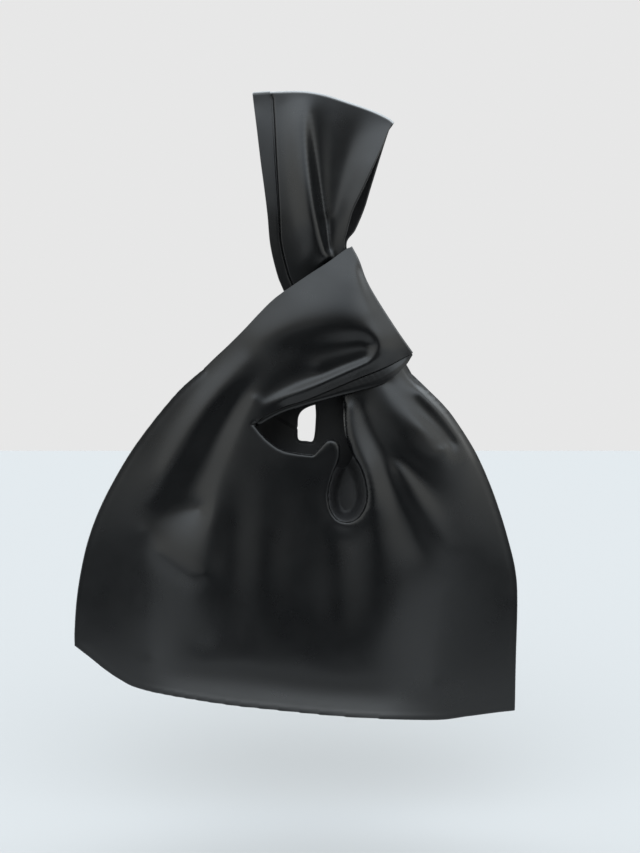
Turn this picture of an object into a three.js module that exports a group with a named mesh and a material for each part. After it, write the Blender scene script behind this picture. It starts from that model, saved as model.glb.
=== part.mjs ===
// Knot bag in soft faux leather: a pouch of two panels whose long strap is pulled
// through the loop of its short strap, hanging by the long strap.
// Millimetres, +Z up, front towards -Y. The origin is the underside of the long strap's
// crown, where a hook, peg or wrist carries the bag.
import * as THREE from "three";

// Plies
const OUTER_PLY = 1.2; // faux leather with its knitted backing
const LINING_PLY = 0.8; // lining of the pouch and facing of the straps
const PLY_GAP = 0.3; // between neighbouring plies, and across each seam

// Pouch, seen from the front as it hangs
const POUCH_WIDTH = 350; // between its bottom corners
const POUCH_LEFT_DROP = 219; // its left corner, below the shoulder
const POUCH_RIGHT_DROP = 266; // its right corner, below the long strap's foot
const POUCH_FLARE = 100; // its left corner, out from the shoulder
const MOUTH_SAG = 25.5; // how far the mouth hangs below its eye

// Swell of each panel
const BELLY_HALF_DEPTH = 29; // the full middle, at its fullest
const BELLY_HEIGHT = 41; // fullest height above the bottom seam
const MOUTH_HALF_DEPTH = 17; // the middle, below the mouth
const WING_HALF_DEPTH = 5; // the flatter wings along the side seams, at the bottom
const SHOULDER_HALF_DEPTH = 10; // the same wings, at the top

// Long strap, above its bend
const CROWN_WIDTH = 112.5;
const CROWN_LEFT = 29.6; // its left edge, from the hang point
const CROWN_FLAT = 10; // depth of the flat that bears on the hook
const CROWN_RADIUS = 7; // bend on each side of that flat
const CROWN_LEVEL = 45; // level stretch of the crown, from its left end
const CROWN_DROP = 23; // how far the crown's right end hangs below its left end
const BEND_DROP = 104; // the strap bends front to back this far below its crown
const BEND_WIDTH = 61;
const BEND_LEFT = 17; // its left edge there, from the hang point
const STRAP_BOW = 8; // how far each side of the loop bows out
const STRAP_VALLEY = 9; // depth of the long fold down the strap
const VALLEY_WIDTH = 14; // half width of that fold
const VALLEY_FROM_LEFT = 58; // middle of that fold, at the crown
const STRAP_HEM = 11; // width of the folded hem along the strap's left edge

// Gathered stretch of the long strap, through the short loop
const GATHER_HALF_DEPTH = 11.5;
const BEND_RADIUS = 9.5; // round top that the strap bends about
const SWING = Math.PI / 4; // how far the strap swings each way about it
const FOOT_WIDTH = 53; // where it leaves the pouch, from its inner to its outer edge
const FOOT_DROP = 24; // its inner edge hangs this far below its outer edge

// Short strap loop
const LOOP_BELOW_BEND = 20; // its upper corner, below the bend
const LOOP_BEYOND_BEND = 5; // and to the right of it
const LOOP_END_RUN = 49.6; // its end, from that corner rightwards
const LOOP_END_DROP = 89.6; // and down
const LOOP_TOP_RUN = 121; // its upper edge, from that corner leftwards to the shoulder
const LOOP_TOP_DROP = 98.4; // and down
const LOOP_ROOT_RUN = 45; // its root, from the shoulder rightwards to the eye's tip
const LOOP_ROOT_DROP = 42; // and down
const LOOP_CLEARANCE = 4; // between the gathered strap and the loop's edges
const LOOP_BULGE = 8; // how much further the loop's middle stands out
const LOOP_HEM = 9; // width of the hem along the loop's lower edge
const LOOP_SQUARENESS = 0.7; // 1 turns the loop's end as a round, less as a sharper fold
const OVAL_SQUARENESS = 0.75; // the same for the gathered strap

const OUTER_TO_LINING = OUTER_PLY + PLY_GAP;
const INNER_STACK = OUTER_TO_LINING + LINING_PLY;
const SEAM_HALF = OUTER_PLY + PLY_GAP / 2;
const LOOP_INSET = INNER_STACK + LOOP_CLEARANCE;
const LOOP_HALF_DEPTH = GATHER_HALF_DEPTH + LOOP_INSET;

// Points of the front view, as [x, z], each placed from its neighbour
const from = ([x, z], right, down) => [x + right, z - down];
const BEND_START = [-BEND_LEFT, -BEND_DROP];
const BEND_END = from(BEND_START, BEND_WIDTH, 0);
const LOOP_CORNER = from(BEND_END, LOOP_BEYOND_BEND, LOOP_BELOW_BEND);
const LOOP_END_FOOT = from(LOOP_CORNER, LOOP_END_RUN, LOOP_END_DROP);
const SHOULDER = from(LOOP_CORNER, -LOOP_TOP_RUN, LOOP_TOP_DROP); // the loop's outer edge leaves the pouch
const EYE_TIP = from(SHOULDER, LOOP_ROOT_RUN, LOOP_ROOT_DROP); // its inner edge there
const FOOT_OUTER = from(LOOP_END_FOOT, 0, LOOP_CLEARANCE + LOOP_HEM);
const FOOT_INNER = from(FOOT_OUTER, -FOOT_WIDTH, FOOT_DROP);
const LEFT_CORNER = from(SHOULDER, -POUCH_FLARE, POUCH_LEFT_DROP);
const RIGHT_CORNER = [LEFT_CORNER[0] + POUCH_WIDTH, FOOT_OUTER[1] - POUCH_RIGHT_DROP];

// Outlines, through points at shares of the way across and up from one end to the other
const line = (start, shares, end) => {
  const [width, height] = [end[0] - start[0], end[1] - start[1]];
  return [start, ...shares.map(([x, z]) => [start[0] + x * width, start[1] + z * height]), end];
};
const LEFT_SIDE_UP = line(LEFT_CORNER, [[0.06, 0.27], [0.39, 0.66]], SHOULDER);
const RIGHT_SIDE_UP = line(RIGHT_CORNER, [[-0.04, 0.33], [0.3, 0.73]], FOOT_OUTER);
const BOTTOM_RIGHTWARDS = line(LEFT_CORNER, [[0.14, 0.64], [0.41, 0.96], [0.83, 1.18]], RIGHT_CORNER);
const MOUTH_LOW = from(EYE_TIP, 0.62 * (FOOT_INNER[0] - EYE_TIP[0]), MOUTH_SAG);
const MOUTH_RISE = line(MOUTH_LOW, [[0.7, 0.35]], FOOT_INNER);
const MOUTH_RIGHTWARDS = [...line(EYE_TIP, [[0.43, 0.69]], MOUTH_LOW), ...MOUTH_RISE.slice(1)];
const LOOP_END_UP = line(LOOP_END_FOOT, [[0.27, 0.27], [0.84, 0.8]], LOOP_CORNER);
const LOOP_TOP_RIGHTWARDS = line(SHOULDER, [[0.38, 0.455], [0.86, 0.86]], LOOP_CORNER);
const LOOP_FOOT_RIGHTWARDS = line(EYE_TIP, [[0.34, 0.36], [0.65, 0.64]], LOOP_END_FOOT);
const STRAP_LEFT_UP = line(BEND_START, [[0.49, 0.485]], [-CROWN_LEFT, 0]);
const STRAP_RIGHT_UP = line(BEND_END, [[0.41, 0.28], [0.86, 0.715]], [CROWN_WIDTH - CROWN_LEFT, 0]);
const GATHER_LEFT_UP = line(FOOT_INNER, [[0.48, 0.34], [0.84, 0.65]], BEND_START);
const INSIDE_LOOP_END = LOOP_END_UP.slice(1).map(([x, z]) => [x - LOOP_INSET, z]);
const GATHER_RIGHT_UP = [FOOT_OUTER, ...INSIDE_LOOP_END, BEND_END];

// Shares of a panel's width: where its mouth begins and ends, its wings, and the ramps to its middle
const MOUTH_START = 0.36;
const MOUTH_END = 0.62;
const WING = 0.15;
const RAMP = 0.19;
const TAPER = 0.55; // share of its height over which the swell draws in towards the mouth

// Folds that the knot draws in a panel, between shares of its width and height: valleys are below 0
const FOLDS = [
  { start: [0.22, 1], end: [0.2, 0.52], rise: -4.5, spread: 0.045 }, // trough beside the shoulder's roll
  { start: [0.47, 1], end: [0.48, 0.38], rise: -4.5, spread: 0.06 }, // sag under the mouth
  { start: [0.64, 1], end: [0.66, 0.4], rise: 4, spread: 0.04 }, // ridge beside the sag
  { start: [0.71, 1], end: [0.82, 0.42], rise: 7, spread: 0.05 }, // fold down from the long strap's foot
  { start: [0.84, 0.98], end: [0.88, 0.62], rise: 6, spread: 0.035 }, // short fold at the right shoulder
  { start: [0.58, 1], end: [1, 1], rise: -6, spread: 0.09 }, // foot pressed in by the loop
];

// Grid lines of the surfaces
const POUCH_COLUMNS = [0, 0.03, 0.07, 0.11, 0.15, 0.18, 0.21, 0.24, 0.28, 0.32, MOUTH_START,
  0.4, 0.44, 0.48, 0.52, 0.56, 0.59, MOUTH_END,
  0.65, 0.68, 0.71, 0.74, 0.77, 0.8, 0.83, 0.86, 0.89, 0.93, 0.97, 1];
const POUCH_ROWS = [0, 0.03, 0.07, 0.12, 0.18, 0.26, 0.34, 0.42, 0.5, 0.57, 0.64, 0.71, 0.78, 0.84, 0.9,
  0.95, 1];
const LOOP_TURN_START = 0.55; // share of the loop's length where its end starts to turn
const LOOP_STEPS = 5;
const LOOP_TURN_STEPS = 6;
const LOOP_BANDS = 6;
const STRAP_BANDS = 9;
const STRAP_RISE_STEPS = 8;
const CROWN_TURN_STEPS = 4;
const GATHER_STEPS = 10;
const GATHER_SIDES = 20;

const lerp = THREE.MathUtils.lerp;
const smooth = (t) => THREE.MathUtils.smoothstep(t, 0, 1);
const steps = (count) => Array.from({ length: count + 1 }, (_, k) => k / count);
const PANEL_HEIGHT = outline(MOUTH_RIGHTWARDS)(0.5).y - outline(BOTTOM_RIGHTWARDS)(0.5).y;

// A smooth line through points in the front view, measured by share of its length.
function outline(points) {
  const curve = new THREE.SplineCurve(points.map(([x, z]) => new THREE.Vector2(x, z)));
  return (share) => curve.getPointAt(THREE.MathUtils.clamp(share, 0, 1));
}

// A patch in the front view that fills four outlines, its left and right ones running upwards.
function patch(bottom, top, left, right) {
  const corner = { a: bottom(0), b: bottom(1), c: top(0), d: top(1) };
  const blend = (s, t, axis) => {
    const along = lerp(bottom(s)[axis], top(s)[axis], t) + lerp(left(t)[axis], right(t)[axis], s);
    const low = lerp(corner.a[axis], corner.b[axis], s);
    const high = lerp(corner.c[axis], corner.d[axis], s);
    return along - lerp(low, high, t);
  };
  return (s, t) => new THREE.Vector2(blend(s, t, "x"), blend(s, t, "y"));
}

// Points of a surface on its grid lines, each with its normal. Columns run along s and rows along t.
function gridOf(surface, columns, rows) {
  const points = rows.map((t) => columns.map((s) => surface(s, t)));
  return withNormals(points);
}

function withNormals(points) {
  const last = { row: points.length - 1, column: points[0].length - 1 };
  return points.map((line, j) => line.map((point, i) => {
    const across = line[Math.min(i + 1, last.column)].clone().sub(line[Math.max(i - 1, 0)]);
    const up = points[Math.min(j + 1, last.row)][i].clone().sub(points[Math.max(j - 1, 0)][i]);
    return { point, normal: across.cross(up).normalize() };
  }));
}

// Part of a grid, from one column and row to another.
function part(grid, columns, rows = [0, grid.length - 1]) {
  return grid.slice(rows[0], rows[1] + 1).map((line) => line.slice(columns[0], columns[1] + 1));
}

// One ply as a closed solid, between two distances from a grid along its normals.
function ply(grid, inner, outer) {
  const width = grid[0].length;
  const height = grid.length;
  const place = (node, distance) => node.point.clone().addScaledVector(node.normal, distance);
  const points = [outer, inner].flatMap((d) => grid.flatMap((line) => line.map((node) => place(node, d))));
  const at = (j, i, side) => side * width * height + j * width + i;
  const faces = [];
  const quad = (a, b, c, d) => faces.push(a, b, c, a, c, d);
  for (let j = 0; j < height - 1; j++) {
    for (let i = 0; i < width - 1; i++) {
      quad(at(j, i, 0), at(j, i + 1, 0), at(j + 1, i + 1, 0), at(j + 1, i, 0));
      quad(at(j, i, 1), at(j + 1, i, 1), at(j + 1, i + 1, 1), at(j, i + 1, 1));
    }
    quad(at(j, 0, 0), at(j + 1, 0, 0), at(j + 1, 0, 1), at(j, 0, 1));
    quad(at(j + 1, width - 1, 0), at(j, width - 1, 0), at(j, width - 1, 1), at(j + 1, width - 1, 1));
  }
  for (let i = 0; i < width - 1; i++) {
    quad(at(0, i + 1, 0), at(0, i, 0), at(0, i, 1), at(0, i + 1, 1));
    quad(at(height - 1, i, 0), at(height - 1, i + 1, 0), at(height - 1, i + 1, 1), at(height - 1, i, 1));
  }
  return geometryOf(points, faces);
}

// A closed solid through rings of points, with a flat cap on each end.
function loft(rings) {
  const sides = rings[0].length;
  const points = rings.flat();
  const faces = [];
  for (let j = 0; j < rings.length - 1; j++) {
    for (let i = 0; i < sides; i++) {
      const next = (i + 1) % sides;
      const [a, b] = [j * sides + i, j * sides + next];
      faces.push(a, b, b + sides, a, b + sides, a + sides);
    }
  }
  const top = (rings.length - 1) * sides;
  for (let i = 1; i < sides - 1; i++) {
    faces.push(0, i + 1, i);
    faces.push(top, top + i, top + i + 1);
  }
  return geometryOf(points, faces);
}

function geometryOf(points, faces) {
  const geometry = new THREE.BufferGeometry().setFromPoints(points);
  geometry.setIndex(faces);
  geometry.computeVertexNormals();
  return geometry;
}

// The back half of the bag mirrors the front half, its columns turned round to face outwards.
function mirrored(grid) {
  const flip = (v) => new THREE.Vector3(v.x, -v.y, v.z);
  const turned = ({ point, normal }) => ({ point: flip(point), normal: flip(normal) });
  return grid.map((row) => row.map(turned).reverse());
}

// How far a fold rises at a share of the panel's width and height, dying out towards both its ends.
function foldRise({ start, end, rise, spread }, s, t) {
  const along = new THREE.Vector2(end[0] - start[0], end[1] - start[1]);
  const at = new THREE.Vector2(s - start[0], t - start[1]);
  const share = THREE.MathUtils.clamp(at.dot(along) / along.lengthSq(), 0, 1);
  const off = at.addScaledVector(along, -share).length() / spread;
  return rise * Math.sin(Math.PI * share) ** 0.6 * Math.exp(-off * off);
}

// How far a panel stands out from its seams: flat wings, a full middle over a rolled bottom, and folds.
function pouchSwell(s, t) {
  const belly = BELLY_HEIGHT / PANEL_HEIGHT;
  const roll = 1 - (1 - Math.min(t / belly, 1)) ** 2;
  const middle = lerp(BELLY_HALF_DEPTH, MOUTH_HALF_DEPTH, smooth((t - belly) / TAPER));
  const inwards = Math.min(s, 1 - s);
  const wing = lerp(WING_HALF_DEPTH, SHOULDER_HALF_DEPTH, t) * Math.min(inwards / WING, 1);
  const folds = FOLDS.reduce((sum, fold) => sum + foldRise(fold, s, t), 0);
  return roll * (lerp(wing, middle, smooth((inwards - WING) / RAMP)) + folds * Math.min(inwards / WING, 1));
}

// Pouch: a panel's outer face, pressed flat where it is sewn along its sides and bottom.
function panelGrid() {
  const edges = [[SHOULDER, EYE_TIP], MOUTH_RIGHTWARDS, [FOOT_INNER, FOOT_OUTER]];
  const [shoulder, mouth, foot] = edges.map(outline);
  const top = (s) => {
    if (s <= MOUTH_START) return shoulder(s / MOUTH_START);
    if (s <= MOUTH_END) return mouth((s - MOUTH_START) / (MOUTH_END - MOUTH_START));
    return foot((s - MOUTH_END) / (1 - MOUTH_END));
  };
  const front = patch(outline(BOTTOM_RIGHTWARDS), top, outline(LEFT_SIDE_UP), outline(RIGHT_SIDE_UP));
  const surface = (s, t) => {
    const at = front(s, t);
    return new THREE.Vector3(at.x, -SEAM_HALF - pouchSwell(s, t), at.y);
  };
  const grid = gridOf(surface, POUCH_COLUMNS, POUCH_ROWS);
  const lastColumn = POUCH_COLUMNS.length - 1;
  grid.forEach((line, j) => line.forEach((node, i) => {
    if (i === 0 || i === lastColumn || j === 0) node.normal.set(0, -1, 0);
  }));
  return grid;
}

// Short strap: the front half of its loop, from the shoulder round to the seam at its end.
function loopGrid() {
  const clear = new THREE.Vector2(PLY_GAP, PLY_GAP); // off the pouch, at the shoulder
  const lifted = (line) => (share) => line(share).clone().addScaledVector(clear, 1 - share);
  const [foot, top, root] = [LOOP_FOOT_RIGHTWARDS, LOOP_TOP_RIGHTWARDS, [EYE_TIP, SHOULDER]].map(outline);
  const front = patch(lifted(foot), lifted(top), (t) => root(t).clone().add(clear), outline(LOOP_END_UP));
  const surface = (s, t, turn) => {
    const at = front(s, t);
    const rootDepth = INNER_STACK + PLY_GAP + pouchSwell(MOUTH_START * (1 - t), 1);
    const bulged = LOOP_HALF_DEPTH + LOOP_BULGE * Math.sin(Math.PI * t);
    const depth = lerp(rootDepth, bulged, smooth(s / LOOP_TURN_START));
    return new THREE.Vector3(at.x, -Math.max(depth * Math.cos(turn) ** LOOP_SQUARENESS, PLY_GAP / 2), at.y);
  };
  const straight = steps(LOOP_STEPS).map((k) => ({ s: LOOP_TURN_START * k, turn: 0 }));
  const turned = steps(LOOP_TURN_STEPS).slice(1).map((k) => {
    const turn = (k * Math.PI) / 2;
    return { s: lerp(LOOP_TURN_START, 1, Math.sin(turn) ** LOOP_SQUARENESS), turn };
  });
  const columns = [...straight, ...turned].map(({ s, turn }) => {
    const hem = LOOP_HEM / front(s, 0).distanceTo(front(s, 1));
    const rows = [0, ...steps(LOOP_BANDS).map((k) => lerp(hem, 1, k))];
    return rows.map((t) => surface(s, t, turn));
  });
  const grid = withNormals(columns[0].map((_, j) => columns.map((column) => column[j])));
  grid.forEach((line) => line.at(-1).normal.setY(0).normalize());
  return grid;
}

// Long strap: the inner face of its loop, up the front, over the crown and down the back.
function strapGrid() {
  const [left, right] = [STRAP_LEFT_UP, STRAP_RIGHT_UP].map(outline);
  const sloping = CROWN_WIDTH - CROWN_LEVEL;
  const crown = (u) => -CROWN_DROP * Math.max(0, (u * CROWN_WIDTH - CROWN_LEVEL) / sloping) ** 1.3;
  const seat = BEND_RADIUS + PLY_GAP;
  const side = CROWN_FLAT / 2 + CROWN_RADIUS;
  const halfProfile = (u) => {
    const shoulder = crown(u) - CROWN_RADIUS;
    const fold = Math.exp(-(((u * CROWN_WIDTH - VALLEY_FROM_LEFT) / VALLEY_WIDTH) ** 2));
    const climb = steps(STRAP_RISE_STEPS).map((f) => {
      const bow = (STRAP_BOW - STRAP_VALLEY * fold) * Math.sin(Math.PI * f);
      return [lerp(seat, side, smooth(f)) + bow, lerp(-BEND_DROP, shoulder, f)];
    });
    const bend = steps(CROWN_TURN_STEPS).slice(1).map((k) => {
      const turn = (k * Math.PI) / 2;
      return [CROWN_FLAT / 2 + CROWN_RADIUS * Math.cos(turn), shoulder + CROWN_RADIUS * Math.sin(turn)];
    });
    return [...climb, ...bend, [CROWN_FLAT / 4, crown(u)], [PLY_GAP / 2, crown(u)]];
  };
  const across = (u, z) => {
    const f = THREE.MathUtils.clamp((z + BEND_DROP) / (crown(u) + BEND_DROP), 0, 1);
    return lerp(left(f).x, right(f).x, u);
  };
  const columns = [0, ...steps(STRAP_BANDS).map((k) => lerp(STRAP_HEM / CROWN_WIDTH, 1, k))];
  const front = columns.map((u) => halfProfile(u).map(([y, z]) => new THREE.Vector3(across(u, z), -y, z)));
  const loop = front.map((column) => {
    const back = column.map((v) => new THREE.Vector3(v.x, -v.y, v.z)).reverse();
    return [...column, ...back];
  });
  return withNormals(loop[0].map((_, j) => loop.map((column) => column[j])));
}

// Gathered strap: a bundle that leaves the pouch as wide as its shoulder, draws in through
// the loop and ends in the round that the strap bends about.
function gatherRings() {
  const [left, right] = [GATHER_LEFT_UP, GATHER_RIGHT_UP].map(outline);
  const ring = (a, b, halfDepth, lift, spread) => steps(GATHER_SIDES).slice(1).map((k) => {
    const [c, d] = [Math.cos(2 * Math.PI * k), Math.sin(2 * Math.PI * k)];
    const across = (1 + Math.sign(c) * Math.abs(c) ** OVAL_SQUARENESS) / 2;
    const oval = halfDepth * Math.abs(d) ** OVAL_SQUARENESS;
    const mouth = SEAM_HALF + pouchSwell(lerp(MOUTH_END, 1, across), 1);
    const depth = Math.sign(d) * lerp(oval, Math.min(mouth, oval * 4), spread);
    return new THREE.Vector3(lerp(a.x, b.x, across), depth, lerp(a.y, b.y, across) + lift);
  });
  const bundle = steps(GATHER_STEPS).slice(0, -1).map((k) => {
    const spread = smooth(1 - 3 * k);
    return ring(left(k), right(k), GATHER_HALF_DEPTH, PLY_GAP * (1 - k), spread);
  });
  const [a, b] = [left(1), right(1)];
  const waist = BEND_RADIUS * Math.sin(SWING);
  const round = [-waist, -waist / 2, 0, waist / 2, waist, BEND_RADIUS * Math.cos(SWING / 4)].map((rise) => {
    return ring(a, b, Math.sqrt(BEND_RADIUS ** 2 - rise ** 2), rise, 0);
  });
  return [...bundle, ...round];
}

const leather = (color) => new THREE.MeshStandardMaterial({ color, roughness: 0.42, metalness: 0 });
const OUTER_LEATHER = leather(0x17181a);
const LINING_CLOTH = leather(0x101112);

const bag = new THREE.Group();
function add(name, geometry, material = OUTER_LEATHER) {
  const mesh = new THREE.Mesh(geometry, material);
  mesh.name = name;
  bag.add(mesh);
}

// Pouch
const frontPanel = panelGrid();
const backPanel = mirrored(frontPanel);
const sewnIn = [2, POUCH_COLUMNS.length - 3];
const liningRows = [2, POUCH_ROWS.length - 2];
for (const [side, grid] of [["front", frontPanel], ["back", backPanel]]) {
  add(`${side}_panel`, ply(grid, -OUTER_PLY, 0));
  add(`${side}_lining`, ply(part(grid, sewnIn, liningRows), -INNER_STACK, -OUTER_TO_LINING), LINING_CLOTH);
}

// Long strap
const strap = strapGrid();
const lastStrapColumn = strap[0].length - 1;
const seamRow = strap.length / 2;
const facingRows = strap.filter((_, j) => j !== seamRow && j !== seamRow - 1);
add("long_strap_facing", ply(facingRows, 0, LINING_PLY), LINING_CLOTH);
const strapOuter = LINING_PLY + PLY_GAP;
const strapHem = strapOuter + OUTER_PLY + PLY_GAP;
for (const [side, rows] of [["front", [0, seamRow - 1]], ["back", [seamRow, strap.length - 1]]]) {
  add(`long_strap_${side}`, ply(part(strap, [0, lastStrapColumn], rows), strapOuter, strapOuter + OUTER_PLY));
  add(`long_strap_hem_${side}`, ply(part(strap, [0, 1], rows), strapHem, strapHem + OUTER_PLY));
}
add("long_strap_gather", loft(gatherRings()));

// Short strap
const loopFront = loopGrid();
const lastLoopColumn = loopFront[0].length - 1;
for (const [side, grid] of [["front", loopFront], ["back", mirrored(loopFront)]]) {
  const hemRows = [0, 1];
  add(`short_strap_${side}`, ply(grid, -OUTER_PLY, 0));
  add(`short_strap_facing_${side}`, ply(grid, -INNER_STACK, -OUTER_TO_LINING), LINING_CLOTH);
  add(`short_strap_hem_${side}`, ply(part(grid, [0, lastLoopColumn], hemRows), PLY_GAP, PLY_GAP + OUTER_PLY));
}

export default bag;
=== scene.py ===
import bpy
import numpy as np
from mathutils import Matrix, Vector
from mathutils.geometry import delaunay_2d_cdt


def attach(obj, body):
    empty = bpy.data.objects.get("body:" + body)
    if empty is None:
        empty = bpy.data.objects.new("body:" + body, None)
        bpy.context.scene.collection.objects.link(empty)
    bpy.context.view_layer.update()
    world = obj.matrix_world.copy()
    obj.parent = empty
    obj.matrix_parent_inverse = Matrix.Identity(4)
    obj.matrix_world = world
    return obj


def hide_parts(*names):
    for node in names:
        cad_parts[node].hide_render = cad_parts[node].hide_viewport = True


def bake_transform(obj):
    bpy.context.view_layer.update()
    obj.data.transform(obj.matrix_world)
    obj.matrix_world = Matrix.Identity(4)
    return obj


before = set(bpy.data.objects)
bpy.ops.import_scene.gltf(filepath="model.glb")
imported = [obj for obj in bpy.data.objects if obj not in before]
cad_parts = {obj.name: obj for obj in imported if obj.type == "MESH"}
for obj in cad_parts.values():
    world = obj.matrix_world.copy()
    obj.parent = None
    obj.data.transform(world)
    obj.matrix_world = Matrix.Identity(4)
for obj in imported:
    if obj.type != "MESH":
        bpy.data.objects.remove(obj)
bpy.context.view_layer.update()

# View: a 640 by 853 image, taken level from 0.52 m in front of the bag's middle plane.
WIDTH, HEIGHT = 640, 853
FOCAL = 650.0  # pixels
EYE = np.array([0.024, -0.52, -0.2668])
MM = 0.001


def place(pixels, height):
    """Points seen at these pixels, standing height millimetres in front of the middle plane."""
    y = -np.asarray(height, float) * MM
    reach = (y - EYE[1]) / FOCAL
    x = EYE[0] + (pixels[..., 0] - WIDTH / 2) * reach
    z = EYE[2] + (HEIGHT / 2 - pixels[..., 1]) * reach
    return np.stack([x, y, z], -1)


# Curves and surfaces over the image

def sample(line, shares):
    """Points at shares of a line's length in the image. Further columns follow along."""
    along = np.r_[0, np.cumsum(np.linalg.norm(np.diff(line[:, :2], axis=0), axis=1))]
    at = np.asarray(shares) * along[-1]
    return np.stack([np.interp(at, along, column) for column in line.T], -1)


def spline(points, step=2.0):
    """A smooth line through points, sampled evenly along its length."""
    p = np.asarray(points, float)
    pad = np.vstack([2 * p[0] - p[1], p, 2 * p[-1] - p[-2]])
    t = np.linspace(0, 1, 24, endpoint=False)[:, None]
    runs = []
    for a, b, c, d in zip(pad, pad[1:], pad[2:], pad[3:]):
        bend = (2 * a - 5 * b + 4 * c - d) * t**2 + (3 * b - a - 3 * c + d) * t**3
        runs.append(0.5 * (2 * b + (c - a) * t + bend))
    dense = np.vstack([*runs, p[-1:]])
    length = np.linalg.norm(np.diff(dense[:, :2], axis=0), axis=1).sum()
    return sample(dense, np.linspace(0, 1, max(2, int(round(length / step)) + 1)))


def distance(line, p):
    """How far each point is from a line."""
    best = np.full(len(p), np.inf)
    for a, b in zip(line, line[1:]):
        t = np.clip((p - a) @ (b - a) / max((b - a) @ (b - a), 1e-9), 0, 1)
        best = np.minimum(best, ((p - a - t[:, None] * (b - a)) ** 2).sum(1))
    return np.sqrt(best)


def smooth(t):
    t = np.clip(t, 0, 1)
    return t * t * (3 - 2 * t)


def half_round(gap, radius):
    return np.sqrt(1 - (1 - np.clip(gap / radius, 0, 1)) ** 2)


KNOT_STEP, KNOT_GAP = 6.0, 3.0  # spacing of a surface's knots along its lines, least between lines
ROUNDING = 16.0  # pixels over which a surface rounds off along its lines
CREASES = {  # the sharper lines
    "tip ridge": 2, "patch top": 2.5, "patch foot": 3, "patch lee": 5, "mouth": 3, "tear ridge": 4,
    "far fold": 2, "inner fold": 3, "lower ridge": 1.5, "ridge valley": 2.5, "facet foot": 4,
    "bevel": 4, "foot": 2, "ring ridge": 2, "left ridge": 2, "floor left": 2, "floor right": 3,
    "floor": 4, "panel": 4, "left wing": 2.5, "right wing": 2.5, "left edge": 6, "right edge": 5,
    "end": 5, "loop edge": 7, "upper edge": 7, "roll": 7, "roll crest": 7, "trough": 7, "deep fold": 6,
    "far hollow": 8, "hollow wall": 6, "hollow": 7, "beside tear": 6, "far rim": 4, "second ridge": 6,
    "left seam": 7, "bottom seam": 7, "right seam": 7, "foot seam": 7,
}
SLACK = 0.5  # how freely it passes beside them


def relief(lines):
    """A surface by lines of (x, y, height): near flat between them and rounded along them."""
    runs = [spline(line, KNOT_STEP) for line in lines.values()]
    knots = np.vstack(runs)
    soft = np.concatenate([np.full(len(run), CREASES.get(name, ROUNDING)) for name, run in zip(lines, runs)])
    keep = [0]
    for k in range(1, len(knots)):
        if np.linalg.norm(knots[keep, :2] - knots[k, :2], axis=1).min() > KNOT_GAP:
            keep.append(k)
    at, height, soft = knots[keep, :2], knots[keep, 2], soft[keep]

    def terms(p):
        reach = np.hypot(np.linalg.norm(p[:, None] - at, axis=2), soft)
        return np.hstack([reach, np.ones((len(p), 1)), p / WIDTH])

    rows = terms(at)
    system = np.vstack([rows, np.hstack([rows[:, len(at):].T, np.zeros((3, 3))])])
    system[:len(at), :len(at)] -= SLACK * np.eye(len(at))
    weight = np.linalg.solve(system, np.r_[height, 0, 0, 0])

    def surface(p):
        return np.concatenate([terms(run) @ weight for run in np.array_split(p, len(p) // 3000 + 1)])
    return surface


# Outlines, in pixels

SHOULDER, EYE_TIP, BACK_TIP = (203, 370), (254, 424), (297, 428)
LEFT_DOWN = [SHOULDER, (180, 390.5), (155, 420), (133, 450), (115, 480), (100, 510), (89, 540), (82, 570),
             (77.5, 600), (75.5, 630), (75.5, 645)]
BOTTOM_RIGHT = [(75.5, 645), (91, 657), (106, 669), (121, 679), (136, 686.5), (166, 694), (226, 704),
                (271, 709), (331, 715), (376, 718), (436, 719), (466, 715.5), (496, 711.5), (514, 709.5)]
RIGHT_UP = [(514, 709.5), (515, 660), (516.5, 600), (514.5, 570), (507.5, 540), (498.5, 510), (487.5, 480),
            (473.5, 450), (454.5, 420), (442.5, 405), (427.5, 390), (411, 374)]
FOOT_UP = [(411, 374), (402, 358), (388, 336)]
FOOT_TOP = [(388, 336), (352, 330), (320, 338)]
FOOT_DOWN = [(320, 338), (333, 366), (341, 388), (343.5, 406)]
TEAR = [(343.5, 406), (343.6, 420), (346, 438), (352.5, 455), (361, 470), (366, 490), (365, 505), (357, 518),
        (345, 522), (335, 517), (329.5, 505), (329, 490), (333, 475), (339, 460), (340, 447), (335, 440),
        (327, 440), (321, 446), (313, 455)]
LIP = [(313, 455), (300, 453.5), (281, 449), (265, 437), EYE_TIP]
LOOP_TOP = [SHOULDER, (213, 360), (229, 345), (244, 330), (258, 315), (272, 301), (285, 291), (310, 274),
            (330, 261), (345, 250), (351, 247.5)]
LOOP_END = [(411.5, 353), (396, 331), (376, 300), (365, 280), (358, 261), (351, 247.5)]
LOOP_FOOT = [EYE_TIP, (266, 414), (285, 406), (309, 398.5), (353, 380), (385, 367), (411.5, 353)]
HEM_FOOT = [(257, 426), (275, 415.5), (293, 408.5), (335, 396.5), (360, 390), (385, 382), (404, 367),
            (412.5, 355)]

BACK_LIP = [(316, 404), (316.5, 418), (314, 440), (306, 441.5), (298, 439.5), BACK_TIP]
BACK_FOOT_DOWN = [(320, 338), (318, 370), (316, 404)]
BACK_LOOP_FOOT = [BACK_TIP, (298.5, 415), (307, 407), (330, 400), (353, 390), (385, 375), (411.5, 353)]
BACK_LOOP_TOP = [SHOULDER, (231, 347), (260, 318), (287, 294), (312, 278), (331, 264), (351, 247.5)]

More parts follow.
